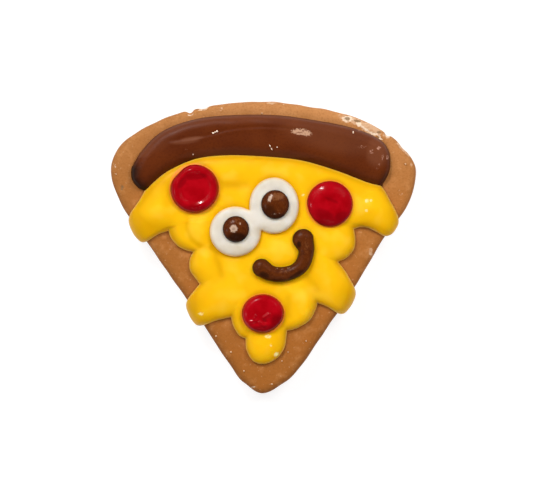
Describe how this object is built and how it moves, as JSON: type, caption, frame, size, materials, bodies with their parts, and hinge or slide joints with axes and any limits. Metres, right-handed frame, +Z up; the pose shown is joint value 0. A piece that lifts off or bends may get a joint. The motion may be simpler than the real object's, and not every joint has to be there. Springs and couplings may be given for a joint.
{
  "type": "dog biscuit",
  "caption": "Wedge-shaped baked dog biscuit iced as a smiling slice of pizza: brown crust band, draped yellow icing, red rounds, white eyes with dark pupils and a curved smile.",
  "frame": {"origin": "middle of the underside, at the centre of the outline's box, on the surface the biscuit lies on", "axes": "+Z up out of the iced face, +Y towards the wide crust end, +X to the right with the pointed tip towards -Y"},
  "size_m": [0.0888, 0.085, 0.0158],
  "materials": {
    "baked_dough": "baked biscuit dough: matt, fine-grained, browned at the edges",
    "brown_icing": "set brown carob icing, satin, with a faint dusty bloom",
    "yellow_icing": "set yellow icing, satin, slightly translucent",
    "red_icing": "glossy red icing",
    "white_icing": "off-white icing, satin",
    "dark_icing": "glossy dark brown icing drops"
  },
  "bodies": {
    "root": {"biscuit": "baked_dough", "crust_icing": "brown_icing", "cheese_icing": "yellow_icing", "pepperoni_left": "red_icing", "pepperoni_right": "red_icing", "pepperoni_bottom": "red_icing", "eye_whites": "white_icing", "pupil_left": "dark_icing", "pupil_right": "dark_icing", "smile": "brown_icing"}
  },
  "joints": []
}
